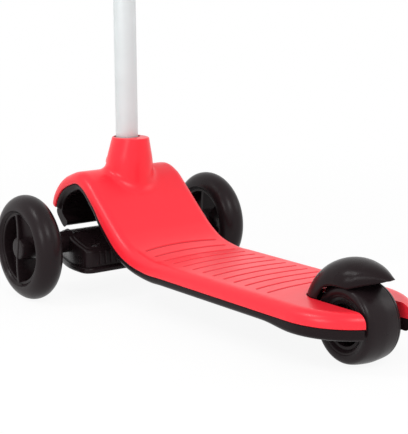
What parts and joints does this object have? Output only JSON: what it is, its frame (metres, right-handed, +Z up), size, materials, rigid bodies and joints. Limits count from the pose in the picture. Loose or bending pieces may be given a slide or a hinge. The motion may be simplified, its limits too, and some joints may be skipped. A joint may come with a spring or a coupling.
{
  "type": "three wheel kids scooter",
  "caption": "Lean-to-steer kids scooter: low moulded deck rising over a sprung front truck, a wheel each side in front, a rear wheel under a foot brake, and a lift-out T handlebar.",
  "frame": {"origin": "on the floor, under the middle of the object's box", "axes": "+X to the rider's right, +Y forward, +Z up"},
  "size_m": [0.288, 0.5176, 0.6395],
  "materials": {
    "red_shell": "satin moulded red plastic",
    "black_plastic": "satin moulded black plastic",
    "black_hub": "semi-gloss moulded black plastic",
    "wheel_tread": "satin dark polyurethane",
    "grip_rubber": "matt ribbed rubber",
    "bushing_rubber": "matt rubber",
    "bare_tube": "satin tube",
    "zinc_steel": "zinc plated"
  },
  "bodies": {
    "deck": {"deck_shell": "red_shell", "under_frame": "black_plastic", "deck_screw_1": "zinc_steel", "deck_screw_2": "zinc_steel", "deck_screw_3": "zinc_steel", "deck_screw_4": "zinc_steel", "stem_bush": "black_plastic", "brake_pin": "zinc_steel", "brake_spring": "zinc_steel", "release_spring": "zinc_steel", "kingpin": "zinc_steel", "kingpin_nut": "zinc_steel", "upper_bushing": "bushing_rubber", "lower_bushing": "bushing_rubber", "upper_washer": "zinc_steel", "lower_washer": "zinc_steel", "rear_axle": "zinc_steel", "rear_left_spacer": "zinc_steel", "rear_right_spacer": "zinc_steel", "left_axle_keeper": "black_plastic", "right_axle_keeper": "black_plastic", "left_keeper_screw": "zinc_steel", "right_keeper_screw": "zinc_steel"},
    "release_button": {"release_button": "black_plastic"},
    "truck": {"truck_hanger": "black_plastic", "truck_undertray": "black_plastic", "truck_screw_1": "zinc_steel", "truck_screw_2": "zinc_steel", "truck_screw_3": "zinc_steel", "truck_screw_4": "zinc_steel", "left_axle": "zinc_steel", "right_axle": "zinc_steel", "left_axle_nut": "zinc_steel", "right_axle_nut": "zinc_steel", "left_axle_spacer": "zinc_steel", "right_axle_spacer": "zinc_steel"},
    "left_front_wheel": {"left_tyre": "wheel_tread", "left_hub": "black_hub", "left_outer_bearing": "zinc_steel", "left_inner_bearing": "zinc_steel", "left_hub_cap": "black_hub"},
    "right_front_wheel": {"right_tyre": "wheel_tread", "right_hub": "black_hub", "right_outer_bearing": "zinc_steel", "right_inner_bearing": "zinc_steel", "right_hub_cap": "black_hub"},
    "rear_wheel": {"rear_tyre": "wheel_tread", "rear_hub": "black_hub", "rear_left_bearing": "zinc_steel", "rear_right_bearing": "zinc_steel"},
    "brake": {"brake_fender": "black_plastic", "brake_shoe": "black_plastic"},
    "handlebar": {"stem_tube": "bare_tube", "snap_catch": "zinc_steel", "tee_joint": "black_plastic", "tee_screw": "zinc_steel", "crossbar": "bare_tube", "left_grip": "grip_rubber", "right_grip": "grip_rubber"}
  },
  "joints": [
    {"name": "lean_steer", "type": "hinge", "parent": "deck", "child": "truck", "pos_m": [0, 0.19875, 0.06], "axis": [0, 0.4226, 0.9063], "range_deg": [-12, 12], "stiffness_Nm_per_rad": 40},
    {"name": "left_wheel_spin", "type": "hinge", "parent": "truck", "child": "left_front_wheel", "pos_m": [-0.128, 0.19875, 0.06], "axis": [1, 0, 0], "continuous": true},
    {"name": "right_wheel_spin", "type": "hinge", "parent": "truck", "child": "right_front_wheel", "pos_m": [0.128, 0.19875, 0.06], "axis": [1, 0, 0], "continuous": true},
    {"name": "rear_wheel_spin", "type": "hinge", "parent": "deck", "child": "rear_wheel", "pos_m": [0, -0.21325, 0.0405], "axis": [1, 0, 0], "continuous": true},
    {"name": "brake_press", "type": "hinge", "parent": "deck", "child": "brake", "pos_m": [0, -0.16425, 0.056], "axis": [1, 0, 0], "range_deg": [0, 3], "stiffness_Nm_per_rad": 2, "springref_deg": -11.46, "deforming": ["brake_spring"]},
    {"name": "handlebar_lift", "type": "slide", "parent": "deck", "child": "handlebar", "axis": [0, 0, 1], "range_m": [0, 0.055], "deforming": ["snap_catch"]},
    {"name": "release_press", "type": "slide", "parent": "deck", "child": "release_button", "axis": [0, -1, 0], "range_m": [0, 0.0025], "stiffness_N_per_m": 800, "springref_m": -0.002, "deforming": ["release_spring"]}
  ]
}
